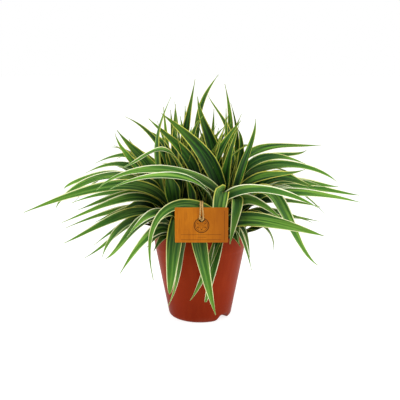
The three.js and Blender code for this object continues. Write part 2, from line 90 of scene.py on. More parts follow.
class Graph:
    """A node tree with short ways to add nodes. They take wires or plain values."""

    def __init__(self, tree):
        self.tree = tree

    def feed(self, socket, value):
        if isinstance(value, Wire):
            self.tree.links.new(value.socket, socket)
        else:
            socket.default_value = value

    def node(self, kind, inputs=None, **settings):
        made = self.tree.nodes.new(kind)
        for name, value in settings.items():
            setattr(made, name, value)
        for name, value in (inputs or {}).items():
            self.feed(made.inputs[name], value)
        return made

    def wire(self, kind, output, inputs=None, **settings):
        """The wire from one output of a new node."""
        return Wire(self, self.node(kind, inputs, **settings).outputs[output])

    def math(self, operation, a, b=0.0):
        return self.wire("ShaderNodeMath", "Value", {0: a, 1: b}, operation=operation)

    def larger(self, a, b):
        return self.math("MAXIMUM", a, b)

    def smaller(self, a, b):
        return self.math("MINIMUM", a, b)

    def above(self, value, limit):
        """1 where the value is above the limit, else 0."""
        return self.math("GREATER_THAN", value, limit)

    def below(self, value, limit):
        return self.math("LESS_THAN", value, limit)

    def vector(self, operation, a, b=(0, 0, 0), output="Vector"):
        return self.wire("ShaderNodeVectorMath", output, {0: a, 1: b}, operation=operation)

    def scaled(self, vector, factor):
        inputs = {0: vector, "Scale": factor}
        return self.wire("ShaderNodeVectorMath", "Vector", inputs, operation="SCALE")

    def joined(self, x, y, z):
        return self.wire("ShaderNodeCombineXYZ", "Vector", {"X": x, "Y": y, "Z": z})

    def split(self, vector):
        """The wires of the vector's x, y and z."""
        made = self.node("ShaderNodeSeparateXYZ", {"Vector": vector})
        return [Wire(self, socket) for socket in made.outputs]

    def ramp(self, value, low, high):
        """0 at low, 1 at high and a soft step between. High may be the smaller of the two."""
        inputs = {"Value": value, "From Min": low, "From Max": high}
        return self.wire("ShaderNodeMapRange", "Result", inputs, interpolation_type="SMOOTHSTEP")

    def noise(self, vector, scale, detail, roughness=0.5):
        inputs = {"Vector": vector, "Scale": scale, "Detail": detail, "Roughness": roughness}
        return self.wire("ShaderNodeTexNoise", "Fac", inputs)

    def blend(self, factor, a, b):
        """Colour a where the factor is 0, colour b where it is 1."""
        return self.wire("ShaderNodeMix", 2, {0: factor, 6: a, 7: b}, data_type="RGBA")

    def attribute(self, name, output="Fac"):
        return self.wire("ShaderNodeAttribute", output, attribute_name=name)

    def point(self):
        """The point of the piece that is being coloured, in metres."""
        return self.wire("ShaderNodeTexCoord", "Object")

    def mottling(self, coarse, fine):
        """Soft mottling about 0 of two sizes over the piece, from the shared group."""
        inputs = {"Vector": self.point(), "Coarse": coarse, "Fine": fine}
        return self.wire("ShaderNodeGroup", "Value", inputs, node_tree=MOTTLING)


class Finish(Graph):
    """A new material and its graph. A socket of its shader is named with _ for each blank."""

    def __init__(self, name, **sockets):
        self.material = bpy.data.materials.new(name)
        self.material.use_nodes = True
        super().__init__(self.material.node_tree)
        self.shader = self.tree.nodes["Principled BSDF"]
        self.set(**sockets)

    def set(self, **sockets):
        for label, value in sockets.items():
            self.feed(self.shader.inputs[label.replace("_", " ")], value)

    def bump(self, height, distance, strength=1.0):
        inputs = {"Height": height, "Distance": distance, "Strength": strength}
        self.set(Normal=self.wire("ShaderNodeBump", "Normal", inputs))


def node_group(name, kind, inputs, outputs):
    """A node group of the kind: its graph, the wires of its inputs by name, its output node."""
    tree = bpy.data.node_groups.new(name, kind)
    for side, sockets in (("INPUT", inputs), ("OUTPUT", outputs)):
        for label, socket in sockets.items():
            tree.interface.new_socket(label, in_out=side, socket_type="NodeSocket" + socket)
    graph = Graph(tree)
    start = graph.node("NodeGroupInput")
    given = {label: Wire(graph, start.outputs[label]) for label in inputs}
    return graph, given, graph.node("NodeGroupOutput")


def mottling_group():
    """Two sizes of soft mottling in one value about 0, for dust, wear and uneven colour."""
    inputs = {"Vector": "Vector", "Coarse": "Float", "Fine": "Float"}
    graph, given, result = node_group("Mottling", "ShaderNodeTree", inputs, {"Value": "Float"})
    coarse = graph.noise(given["Vector"], given["Coarse"], 3)
    fine = graph.noise(given["Vector"], given["Fine"], 2)
    graph.feed(result.inputs["Value"], coarse * 0.65 + fine * 0.35 - 0.5)
    return graph.tree


MOTTLING = mottling_group()


def new_mesh(name, points, edges=(), faces=()):
    mesh = bpy.data.meshes.new(name)
    mesh.from_pydata([tuple(point) for point in points], edges, faces)
    return mesh


def finished_mesh(name, work):
    """The mesh that was made in the work space, which is then freed."""
    mesh = bpy.data.meshes.new(name)
    work.to_mesh(mesh)
    work.free()
    return mesh


def facing_out(mesh):
    """Turns the faces of a closed mesh outwards, each shell of it by itself."""
    work = bmesh.new()
    work.from_mesh(mesh)
    bmesh.ops.recalc_face_normals(work, faces=work.faces)
    work.to_mesh(mesh)
    work.free()


def turned_mesh(name, profile, sides):
    """A profile of (radius, height) pairs in metres, from axis to axis, turned about +Z."""
    points, rings = [], []
    for radius, height in profile:
        if radius < 1e-6:
            rings.append([len(points)])
            points.append((0, 0, height))
            continue
        rings.append(list(range(len(points), len(points) + sides)))
        for k in range(sides):
            angle = TURN * k / sides
            points.append((radius * math.cos(angle), radius * math.sin(angle), height))
    faces = []
    for low, high in zip(rings, rings[1:]):
        for k in range(sides):
            n = (k + 1) % sides
            corners = [low[k % len(low)], low[n % len(low)], high[n % len(high)], high[k % len(high)]]
            faces.append(list(dict.fromkeys(corners)))
    mesh = new_mesh(name, points, faces=faces)
    mesh.shade_smooth()
    facing_out(mesh)
    return mesh


def new_object(name, mesh, material=None):
    made = bpy.data.objects.new(name, mesh)
    bpy.context.scene.collection.objects.link(made)
    if material:
        mesh.materials.append(material)
    return made


def applied(made, name):
    """The object's evaluated mesh as a plain one, with the modifiers gone."""
    bpy.context.view_layer.update()
    graph = bpy.context.evaluated_depsgraph_get()
    result = bpy.data.meshes.new_from_object(made.evaluated_get(graph))
    result.name = name
    made.modifiers.clear()
    old = made.data
    made.data = result
    bpy.data.meshes.remove(old)


def place(piece, slot, *nodes):
    """A piece of the plant: all of it rides on the one body."""
    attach(piece, "root")
    if nodes:
        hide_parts(*nodes)


# Geometry nodes

def geometry_tree(name, **inputs):
    """A geometry node group that takes a geometry, a material and the named inputs."""
    kinds = {"Geometry": "Geometry", "Material": "Material", **inputs}
    return node_group(name, "GeometryNodeTree", kinds, {"Geometry": "Geometry"})


def finish_tree(graph, given, result, geometry):
    """Ends a geometry tree: its instances made real, and its material set."""
    real = graph.wire("GeometryNodeRealizeInstances", "Geometry", {"Geometry": geometry})
    inputs = {"Geometry": real, "Material": given["Material"]}
    finished = graph.wire("GeometryNodeSetMaterial", "Geometry", inputs)
    graph.feed(result.inputs["Geometry"], finished)
    return graph.tree


def made_by_nodes(name, guide, tree, **values):
    """A piece that the tree makes from the guide, as a plain closed mesh. The tree's inputs are
    set by their identifiers."""
    piece = new_object(name, guide)
    modifier = piece.modifiers.new(tree.name, "NODES")
    modifier.node_group = tree
    for item in tree.interface.items_tree:
        if item.in_out == "INPUT" and item.name in values:
            modifier[item.identifier] = values[item.name]
    applied(piece, name)
    facing_out(piece.data)
    piece.data.shade_smooth()
    return piece


def named(graph, name, kind="FLOAT"):
    return graph.wire("GeometryNodeInputNamedAttribute", "Attribute", {"Name": name},
                      data_type=kind)


def stored(graph, geometry, name, value):
    inputs = {"Geometry": geometry, "Name": name, "Value": value}
    return graph.wire("GeometryNodeStoreNamedAttribute", "Geometry", inputs,
                      data_type="FLOAT", domain="POINT")


def moved(graph, geometry, **inputs):
    """The geometry with its points at a new Position, or shifted by an Offset."""
    return graph.wire("GeometryNodeSetPosition", "Geometry", {"Geometry": geometry, **inputs})


def swept(graph, guides, profile):
    """The profile swept along the lines of the guides, with closed ends."""
    curves = graph.wire("GeometryNodeMeshToCurve", "Curve", {"Mesh": guides})
    inputs = {"Curve": curves, "Profile Curve": profile, "Fill Caps": True}
    return graph.wire("GeometryNodeCurveToMesh", "Mesh", inputs)


# Leaves: the rule of the solids, in millimetres

SOIL_TOP = 96
STEM = {"radius": 11, "rise": 13}
BLADE = {
    "thickness": 0.8, "fold": 0.42, "base_share": 0.2, "widest_at": 0.5, "tip_width": 0.9,
    "root_radius": 7.5, "root_rise": 6, "root_spread": 8,
}
CROWNS = {
    "front": {"at": (0, -32), "seeded": 0, "bearing": 0, "spread": 60},
    "front_right": {"at": (25, -27), "seeded": 0, "bearing": 60, "spread": 60},
    "front_left": {"at": (-25, -27), "seeded": 0, "bearing": -60, "spread": 60},
    "right": {"at": (34, -1), "seeded": 4, "bearing": 125, "spread": 80},
    "left": {"at": (-34, -1), "seeded": 4, "bearing": -125, "spread": 80},
    "middle": {"at": (0, -4), "seeded": 3, "bearing": 180, "spread": 200},
    "back_right": {"at": (20, 27), "seeded": 7, "bearing": 145, "spread": 150},
    "back_left": {"at": (-20, 27), "seeded": 6, "bearing": 215, "spread": 150},
}

# The points that a midrib passes after its crown, the last one being the tip, then the widest
# width and how far the face is turned to the front.
CARRIER = [[[7, -74, 156.5], [-43, -84, 155], [-56, -86, 72]], 12, 0.7]
SHOWN_LEAVES = {
    "front": [
        [[[-5, -68, 129], [4, -80, 87], [19, -82, 27]], 19, 0],
        [[[-17, -64, 121], [-24, -68, 85], [-39, -72, 35]], 11, 0],
        [[[-12, -56, 168], [-17, -52, 193]], 18, 0.5],
    ],
    "front_right": [
        [[[42, -56, 139], [90, -84, 143], [146, -92, 129]], 18, 0.8],
        [[[32, -52, 166], [83, -66, 178], [141, -70, 158]], 15, 0.45],
        [[[16, -40, 176], [-55, -54, 202], [-125, -60, 178]], 14, 0.45],
        [[[77, -46, 175], [109, -54, 136], [145, -56, 82]], 16, 0.6],
        [[[49, -56, 163], [101, -70, 141]], 16, 0.6],
        [[[27, -52, 175], [22, -76, 152], [17, -79, 120]], 18, 0.5],
        [[[26, -60, 122], [10, -66, 83], [-12, -72, 42]], 14, 0],
        [[[41, -44, 133], [47, -64, 112]], 12, 0.3],
        [[[44, -50, 163], [43, -68, 150], [36, -74, 113]], 14, 0.6],
        [[[38, -52, 118], [50, -64, 104]], 12, 0.3],
        [[[58, -34, 131], [83, -46, 124], [90, -50, 97]], 10, 0],
        [[[50, -40, 127], [61, -58, 93]], 9, 0.2],
        [[[45, -52, 128], [63, -70, 80]], 9, 0.2],
        [[[28, -53, 127], [15, -64, 70], [6, -66, 38]], 11, 0],
    ],
    "front_left": [
        [[[-27, -66, 139], [-33, -76, 91], [-37, -78, 52]], 19, 0],
        [[[-36, -50, 172], [-42, -44, 199]], 24, 0.6],
        [[[-57, -34, 157], [-102, -48, 161], [-168, -60, 137]], 14, 0.45],
        [[[-37, -56, 138], [-62, -62, 118]], 16, 0.3],
        [[[-63, -34, 144], [-113, -46, 135], [-167, -56, 110]], 14, 0.45],
        [[[-52, -62, 130], [-96, -78, 80]], 14, 0.6],
        [[[-49, -66, 152], [-87, -84, 127]], 13, 0.5],
        [[[-60, -48, 140], [-89, -58, 118], [-116, -62, 91]], 14, 0.45],
        [[[-44, -50, 121], [-65, -58, 105]], 12, 0.2],
        [[[-40, -50, 119], [-57, -66, 101]], 14, 0.3],
        [[[-35, -56, 149], [-61, -76, 130]], 15, 0.5],
    ],
    "right": [
        [[[22, -22, 180], [-5, -30, 228], [-47, -26, 266]], 20, 0.9],
        [[[32, -18, 169], [37, -22, 211], [48, -20, 250]], 14, 0.7],
        [[[48, -6, 167], [53, 0, 215], [47, 0, 244]], 12, 0.6],
        [[[48, -34, 183], [62, -34, 227], [68, -24, 259]], 13, 0.6],
        [[[53, -2, 184], [90, -2, 208], [134, 0, 199]], 14, 0.45],
        [[[60, 12, 181], [124, 14, 194], [176, 14, 173]], 14, 0.45],
        [[[53, -22, 172], [90, -30, 190], [129, -34, 198]], 14, 0.45],
        [[[66, 24, 163], [128, 34, 169], [183, 40, 161]], 16, 0.45],
        [[[65, -8, 155], [135, -12, 163], [202, -14, 152]], 14, 0.45],
        [[[66, -24, 153], [149, -36, 151]], 13, 0.45],
        [[[72, 8, 134], [145, 6, 121]], 13, 0.45],
        [[[78, -18, 176], [110, -28, 185], [141, -32, 176]], 17, 0.5],
        [[[77, -30, 164], [102, -34, 152]], 14, 0.5],
        [[[63, -20, 138], [97, -24, 124]], 13, 0.4],
    ],
    "left": [
        [[[-58, -30, 169], [-124, -44, 176], [-213, -56, 149]], 17, 0.55],
        [[[-54, -2, 176], [-76, 0, 209], [-105, 6, 241]], 18, 0.7],
        [[[-51, -20, 188], [-53, -20, 236], [-36, -8, 284]], 9, 0.2],
        [[[-44, 14, 202], [-96, 30, 255]], 11, 0.4],
        [[[-64, -16, 173], [-90, -20, 212], [-105, -20, 241]], 11, 0.5],
        [[[-78, 14, 186], [-149, 24, 182]], 13, 0.45],
        [[[-78, -2, 176], [-139, -4, 182], [-173, -4, 167]], 13, 0.45],
        [[[-83, -20, 182], [-145, -26, 178], [-180, -30, 147]], 13, 0.45],
        [[[-65, 6, 151], [-105, 10, 155], [-158, 12, 136]], 14, 0.45],
        [[[-64, -16, 145], [-132, -22, 128]], 14, 0.45],
        [[[-68, -4, 132], [-136, -6, 94]], 13, 0.45],
        [[[-71, 12, 128], [-104, 14, 107], [-151, 10, 72]], 13, 0.45],
        [[[-70, -30, 135], [-102, -34, 121], [-122, -40, 88]], 12, 0.45],
        [[[-61, -40, 178], [-95, -44, 174]], 16, 0.5],
        [[[-60, -30, 152], [-101, -40, 143]], 15, 0.5],
    ],
    "middle": [
        [[[22, 6, 184], [10, 0, 237], [-3, 0, 284]], 17, 0.9],
        [[[-4, -12, 183], [-28, -16, 225], [-64, -10, 258]], 15, 0.8],
        [[[12, -2, 179], [31, -6, 226], [51, -8, 255]], 13, 0.6],
        [[[-4, 16, 215], [3, 14, 273], [23, 10, 310]], 11, 0.3],
        [[[-13, 4, 204], [4, -4, 261]], 12, 0.7],
        [[[-37, 22, 204], [-74, 34, 236]], 10, 0.3],
        [[[13, 22, 194], [18, 34, 265]], 9, 0.3],
        [[[-5, -34, 178], [-66, -44, 190]], 12, 0.2],
        [[[-31, -10, 204], [-63, -14, 210], [-99, -16, 193]], 12, 0.15],
        [[[6, -46, 174], [-46, -58, 194], [-107, -64, 179]], 13, 0.3],
        [[[6, -20, 163], [4, -16, 185]], 15, 0.5],
        [[[-31, -2, 182], [-44, 2, 220]], 17, 0.6],
        [[[21, 14, 192], [18, 18, 235]], 17, 0.7],
    ],
    "back_right": [
        [[[42, 24, 201], [29, 26, 252], [10, 30, 283]], 9, 0.3],
        [[[35, 40, 182], [40, 44, 238], [32, 44, 296]], 11, 0.6],
        [[[48, 26, 194], [39, 22, 274]], 11, 0.5],
        [[[51, 40, 190], [101, 50, 212], [161, 50, 214]], 13, 0.45],
        [[[61, 58, 181], [110, 76, 197], [145, 84, 203]], 12, 0.45],
        [[[70, 46, 156], [151, 62, 155], [216, 66, 144]], 14, 0.45],
        [[[74, 30, 123], [159, 44, 113]], 13, 0.45],
        [[[34, 10, 187], [41, 14, 229]], 17, 0.7],
    ],
    "back_left": [
        [[[-21, 20, 195], [-16, 14, 248], [-6, 6, 304]], 13, 0.8],
        [[[-50, 44, 175], [-73, 50, 200], [-94, 56, 222]], 12, 0.6],
        [[[-69, 30, 175], [-108, 40, 215]], 9, 0.45],
        [[[-32, 54, 187], [-39, 66, 260]], 11, 0.5],
        [[[-19, 60, 194], [-20, 78, 264]], 10, 0.5],
        [[[-66, 30, 194], [-138, 44, 192]], 13, 0.45],
        [[[-61, 60, 186], [-113, 76, 192]], 12, 0.45],
        [[[-81, 50, 166], [-148, 66, 170]], 12, 0.45],
        [[[-81, 36, 151], [-173, 52, 136]], 13, 0.45],
        [[[-73, 24, 136], [-178, 30, 107]], 13, 0.45],
        [[[-16, 8, 190], [-21, 10, 232]], 17, 0.6],
        [[[-42, 14, 181], [-55, 20, 215]], 15, 0.5],
    ],
}
FILL = {
    "seed": 2027, "tries": 40, "outer_reach": 155, "inner_reach": 45, "outer_tip": 20,
    "inner_tip": 165, "outer_crest": 72, "inner_crest": 95, "width": (12, 18),
}


def random_from(seed):
    """The same random numbers for the same seed, between 0 and 1."""
    state = seed
    while True:
        state = state * 16807 % 2147483647
        yield state / 2147483647


def midrib_at(points, t):
    """The curve through the points at equal steps, from the crown to the tip."""
    last = len(points) - 1
    total = Vector((0, 0, 0))
    for i, point in enumerate(points):
        weight = 1.0
        for j in range(last + 1):
            if j != i:
                weight *= (t * last - j) / (i - j)
        total += weight * point
    return total


def along_at(points, t):
    return (midrib_at(points, t + 0.01) - midrib_at(points, t - 0.01)).normalized()


def width_share(t):
    """Narrow at the crown, widest half way, then a long taper to the tip."""
    widest = BLADE["widest_at"]
    if t < widest:
        rise = math.sin(TURN / 4 * t / widest)
        return BLADE["base_share"] + (1 - BLADE["base_share"]) * rise ** 1.8
    return 1 - ((t - widest) / (1 - widest)) ** 2


def directions_at(leaf, t):
    """The blade's side and face directions. The face turns towards the front along the leaf."""
    along = along_at(leaf["points"], t)
    reach = leaf["points"][-1] - leaf["points"][0]
    level = Vector((-reach.y, reach.x, 0)).normalized()
    side = (level - along * level.dot(along)).normalized()
    face = along.cross(side)
    if leaf["turn"] > 0:
        wanted = math.atan2(-side.y, -face.y)
        side = Quaternion(along, leaf["turn"] * min(1, 3 * t) * -wanted) @ side
        face = along.cross(side)
    return side, face


def half_width(leaf, t):
    return max(BLADE["tip_width"], leaf["width"] * width_share(t)) / 2


def root_of(crown, towards):
    """A leaf grows from the stem on the side that it leans to, an upright one nearer the top."""
    root = Vector((*crown["at"], SOIL_TOP + BLADE["root_rise"]))
    lean = (towards - root).normalized()
    root += Vector((lean.x, lean.y, 0)) * BLADE["root_radius"]
    root.z += BLADE["root_spread"] * (lean.z - 0.6)
    return root


def shown_leaf(crown, row, attempt, draw):
    places, width, turn = row
    shifts = [next(draw) - 0.5 for _ in range(3)]
    amount = 0 if attempt == 0 else 5 + 1.6 * attempt
    points = []
    for i, (x, y, z) in enumerate(places):
        depth = amount * (shifts[0] + shifts[1] * i / len(places))
        points.append(Vector((x, y + depth, z + 0.2 * amount * shifts[2] - 0.2 * depth)))
    return {"points": [root_of(crown, points[0]), *points], "width": width, "turn": turn}


def filling_leaf(crown, draw):
    bearing = math.radians(crown["bearing"] + crown["spread"] * (next(draw) - 0.5))
    out = Vector((math.sin(bearing), -math.cos(bearing), 0))
    inner = next(draw)
    reach = mix(FILL["outer_reach"], FILL["inner_reach"], inner) * (0.8 + 0.4 * next(draw))
    tip = mix(FILL["outer_tip"], FILL["inner_tip"], inner) + 40 * (next(draw) - 0.5)
    crest = mix(FILL["outer_crest"], FILL["inner_crest"], inner) + 20 * (next(draw) - 0.5)
    width = mix(*FILL["width"], next(draw))
    base = Vector((*crown["at"], SOIL_TOP))
    points = [base + out * 0.45 * reach, base + out * reach]
    points[0].z = SOIL_TOP + crest
    points[1].z = SOIL_TOP + tip
    return {"points": [root_of(crown, points[0]), *points], "width": width, "turn": 0}


def tree_of_points(node):
    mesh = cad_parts[node].data
    tree = KDTree(len(mesh.vertices))
    for i, vertex in enumerate(mesh.vertices):
        tree.insert(vertex.co / MM, i)
    tree.balance()
    return tree


def is_built(leaf, tree):
    """True if the corners of the leaf's tip are points of the crown's solid."""
    side, face = directions_at(leaf, 1)
    half = half_width(leaf, 1)
    lift, under = half * BLADE["fold"], BLADE["thickness"]
    same_place, enough = 0.02, 3
    corners = [(-half, lift), (0, 0), (half, lift), (half, lift - under), (0, -under)]
    tip = leaf["points"][-1]
    found = 0
    for sideways, up in corners:
        _, _, distance = tree.find(tip + side * sideways + face * up)
        found += distance < same_place
    return found >= enough


def grown_leaves():
    """The leaves of each crown, each try drawn in the order in which the solids drew it."""
    draw = random_from(FILL["seed"])
    trees = {name: tree_of_points(f"crown_{name}") for name in CROWNS}
    grown = {name: [] for name in CROWNS}

    def grow(name, make):
        for attempt in range(FILL["tries"]):
            leaf = make(CROWNS[name], attempt)
            if is_built(leaf, trees[name]):
                grown[name].append(leaf)
                return

    grow("front_right", lambda crown, attempt: shown_leaf(crown, CARRIER, attempt, draw))
    for name, rows in SHOWN_LEAVES.items():
        for row in rows:
            grow(name, lambda crown, attempt: shown_leaf(crown, row, attempt, draw))
    for name, crown in CROWNS.items():
        for _ in range(crown["seeded"]):
            grow(name, lambda one, attempt: filling_leaf(one, draw))
    return grown


LEAVES = grown_leaves()
print("leaves", {name: len(leaves) for name, leaves in LEAVES.items()})


# Leaves: the looks

GUIDE_STEPS = 28
PROFILE_POINTS = 18
LOOK = {"base_share": 0.46, "base_rise": 1.6, "base_fold": 1.05, "open_at": 0.42, "taper": 1.25,
        "hanging_taper": 1.5, "tip_share": 0.95, "curl": 0.16, "waves": (1.5, 3)}
# The section is as thick as a solid blade's, and thins where half its width is under full_from.
SECTION = {"thickness": BLADE["thickness"] * MM, "full_from": 2.4 * MM, "fold_power": 1.3}

# Two kinds of leaf fill the clump between the others: short young ones round the foot of every
# crown, and slender upright ones in the crowns behind the front. Millimetres and degrees. The
# rise is how steep the lower part stands, and the upper part has that rise times the bend. A
# leaf is left out if its tip is further forward than front_limit or to a side than side_limit.
YOUNG = {"count": 10, "length": (34, 78), "width": (7, 12), "rise": (26, 74), "bend": 0.55,
         "front_limit": -70, "side_limit": 130, "seed": 701}
SLENDER = {"count": 13, "length": (95, 180), "width": (7, 12), "rise": (68, 88), "bend": 0.9,
           "front_limit": -32, "side_limit": 58, "seed": 811}
# Forward of this line they stay low, so that none stands up in front of the arching leaves.
LOW_FRONT = {"line": -36, "top": 124}
FINISH_SEED = 31


def look_half(leaf, t, arch):
    """Half the width of the blade as it is seen: a broad folded base and a long pointed tip.
    A leaf that arches over stays broad for longer than an upright one."""
    widest = BLADE["widest_at"]
    if t < widest:
        rise = math.sin(TURN / 4 * t / widest)
        share = mix(LOOK["base_share"], 1, rise ** LOOK["base_rise"])
    else:
        taper = mix(LOOK["taper"], LOOK["hanging_taper"], arch)
        share = 1 - ((t - widest) / (1 - widest)) ** taper
    return max(BLADE["tip_width"] * LOOK["tip_share"], leaf["width"] * share) / 2


def upwards(out, rise):
    """The direction outwards that stands up by the rise."""
    return out * math.cos(rise) + Vector((0, 0, math.sin(rise)))


def young_leaves(crown, kind, draw):
    """Leaves of one kind round the foot of a crown. They stand between the roots of the others."""
    uneven, root_rise, turn = 0.7, 4, 0.3
    lower_share, upper_share = 0.55, 0.45
    made = []
    for k in range(kind["count"]):
        bearing = TURN * (k + uneven * next(draw)) / kind["count"]
        out = Vector((math.sin(bearing), -math.cos(bearing), 0))
        rise = math.radians(mix(*kind["rise"], next(draw)))
        length = mix(*kind["length"], next(draw))
        root = Vector((*crown["at"], SOIL_TOP + root_rise)) + out * BLADE["root_radius"]
        middle = root + upwards(out, rise) * length * lower_share
        tip = middle + upwards(out, rise * kind["bend"]) * length * upper_share
        width = mix(*kind["width"], next(draw))
        inside = tip.y > kind["front_limit"] and abs(tip.x) < kind["side_limit"]
        if inside and (middle.y > LOW_FRONT["line"] or tip.z < LOW_FRONT["top"]):
            made.append({"points": [root, middle, tip], "width": width, "turn": turn})
    return made


def blade_tree():
    """Sweeps a lens-shaped section along each guide. The guides carry the side and face
    directions, the half width and the wave of the margin, so a blade folds and turns as it goes."""
    graph, given, result = geometry_tree("Leaf blades", Sides="Int", Thickness="Float")
    circle = graph.wire("GeometryNodeCurvePrimitiveCircle", "Curve", {"Resolution": given["Sides"]})
    turn = graph.wire("GeometryNodeSplineParameter", "Factor") * TURN
    blades = swept(graph, given["Geometry"], stored(graph, circle, "round", turn))
    angle = named(graph, "round")
    across = graph.math("COSINE", angle)
    upward = graph.math("SINE", angle)
    half = named(graph, "half")
    outer = graph.math("ABSOLUTE", across)
    fold = graph.math("POWER", outer, SECTION["fold_power"]) * named(graph, "fold")
    wave = across * outer * named(graph, "wave")
    thin = graph.smaller(graph.math("DIVIDE", half, SECTION["full_from"]), 1.0)
    under = (upward - 1.0) * (given["Thickness"] * 0.5 * thin)
    sideways = graph.scaled(named(graph, "side", "FLOAT_VECTOR"), across * half)
    up = graph.scaled(named(graph, "face", "FLOAT_VECTOR"), (fold + wave) * half + under)
    spine = named(graph, "spine", "FLOAT_VECTOR")
    position = graph.vector("ADD", spine, graph.vector("ADD", sideways, up))
    blades = moved(graph, blades, Position=position)
    blades = stored(graph, blades, "across", across)
    blades = stored(graph, blades, "upper", graph.above(upward, -0.05))
    return finish_tree(graph, given, result, blades)


def arch_of(leaf):
    """1 for a leaf that arches far over or hangs down, 0 for an upright one. In millimetres."""
    full_fall, short_reach, far_reach = 30, 70, 230
    root, tip = leaf["points"][0], leaf["points"][-1]
    crest = max(midrib_at(leaf["points"], k / 8).z for k in range(9))
    reach = (tip - root).to_2d().length
    over = max(0, reach - short_reach) / (far_reach - short_reach)
    return min(1.0, (crest - tip.z) / full_fall + over)


def guide_mesh(name, leaves, seed):
    """One line of points for each leaf, with what the sweep and the finish read at each point."""
    draw = random_from(seed)
    points, edges, rows = [], [], {}
    for leaf in leaves:
        tone, margin, phase, waves = (next(draw) for _ in range(4))
        arch = arch_of(leaf)
        for i in range(GUIDE_STEPS + 1):
            t = i / GUIDE_STEPS
            side, face = directions_at(leaf, t)
            centre = midrib_at(leaf["points"], t) * MM
            half = look_half(leaf, t, arch) * MM
            sway = math.sin(TURN * (t * mix(*LOOK["waves"], waves) + phase))
            here = {
                "spine": centre, "side": side, "face": face, "half": half, "wide": half / MM,
                "wave": LOOK["curl"] * sway * math.sin(TURN / 2 * t),
                "fold": mix(LOOK["base_fold"], BLADE["fold"], min(1, t / LOOK["open_at"])),
                "along": t, "tone": tone, "margin": margin, "arch": arch,
            }
            for label, value in here.items():
                rows.setdefault(label, []).append(value)
            if i:
                edges.append((len(points) - 1, len(points)))
            points.append(centre)
    mesh = new_mesh(name, points, edges)
    for label, values in rows.items():
        if isinstance(values[0], Vector):
            layer = mesh.attributes.new(label, "FLOAT_VECTOR", "POINT")
            layer.data.foreach_set("vector", [c for vector in values for c in vector])
        else:
            layer = mesh.attributes.new(label, "FLOAT", "POINT")
            layer.data.foreach_set("value", values)
    return mesh


# The heart of the clump. The leaves are darkest within its inner distance from the middle and
# as usual past the outer one. Distances to the sides count for less, by the stretch.
HEART = {"at": (0, -5 * MM, 130 * MM), "stretch": (0.62, 1, 1), "inner": 46 * MM, "outer": 92 * MM}


def streaks(finish, sideways, along, offset):
    """Lengthwise streaks in one mask: broad bands, and fine lines between the veins."""
    broad = finish.noise(finish.joined(sideways * 0.34, along * 2.2, offset), 1.0, 1)
    fine = finish.noise(finish.joined(sideways * 1.5, along * 4.0, offset), 1.0, 2)
    return finish.ramp(broad * 0.68 + fine * 0.32, 0.42, 0.66)


def clump_shade(finish, along):
    """How dark it is in the clump: near the leaf's own root, or near the heart."""
    from_heart = finish.vector("SUBTRACT", finish.point(), HEART["at"])
    from_heart = finish.vector("MULTIPLY", from_heart, HEART["stretch"])
    distance = finish.vector("LENGTH", from_heart, output="Value")
    in_heart = finish.ramp(distance, HEART["outer"], HEART["inner"])
    near_root = finish.ramp(along, 0.5, 0.04)
    return finish.larger(near_root * 0.8, in_heart * 0.75)


def leaf_green(finish, leaf, streak):
    """The green of the blade, which differs from leaf to leaf. Arching leaves are paler, above
    all in their outer half, and every tip is a little yellower."""
    dark = finish.blend(leaf["tone"], tint("#0b2909"), tint("#194512"))
    light = finish.blend(leaf["tone"], tint("#396f14"), tint("#67952c"))
    arching = finish.ramp(leaf["arch"], 0.5, 1.0)
    outer_half = finish.ramp(leaf["along"], 0.35, 0.8) * 0.45
    dark = finish.blend(arching * (outer_half + 0.1), dark, tint("#3f7a1b"))
    light = finish.blend(arching * 0.5, light, tint("#8ab248"))
    green = finish.blend(streak * 0.9, dark, light)
    near_tip = finish.ramp(leaf["along"], 0.6, 1.0)
    return finish.blend(near_tip * 0.38, green, tint("#6f982a"))


def margin_masks(finish, leaf, offset):
    """The pale margin and the softer green beside it, as two masks. The margin's width wanders,
    and it narrows with the blade towards the tip. Widths are in millimetres."""
    across, along, wide = leaf["across"], leaf["along"], leaf["wide"]
    from_edge = (1.0 - finish.math("ABSOLUTE", across)) * wide
    wander_at = finish.joined(along * 9.0, offset, finish.math("SIGN", across))
    wander = finish.noise(wander_at, 1.0, 1) - 0.5
    width = leaf["margin"] * 0.55 + 0.44 + leaf["arch"] * 0.2 + wander * 0.7
    room = wide * (finish.ramp(along, 1.02, 0.7) * 0.3)
    depth = from_edge - finish.smaller(width, room)
    return finish.ramp(depth, 0.3, -0.1), finish.ramp(depth, 1.0, 0.1)


def margin_colour(finish, leaf, shade):
    """Cream where an arching leaf lies in the light, and a dull yellow elsewhere."""
    later = leaf["along"] - finish.ramp(leaf["tone"], 0.8, 0.2) * 0.35
    lit = finish.ramp(leaf["arch"], 0.2, 0.9) * finish.ramp(later, 0.1, 0.35)
    lit = lit * (leaf["tone"] * 0.5 + 0.55)
    pale = finish.blend(lit, tint("#bab84c"), tint("#eaecc8"))
    return finish.blend(shade * 0.75, pale, tint("#8a8c38"))


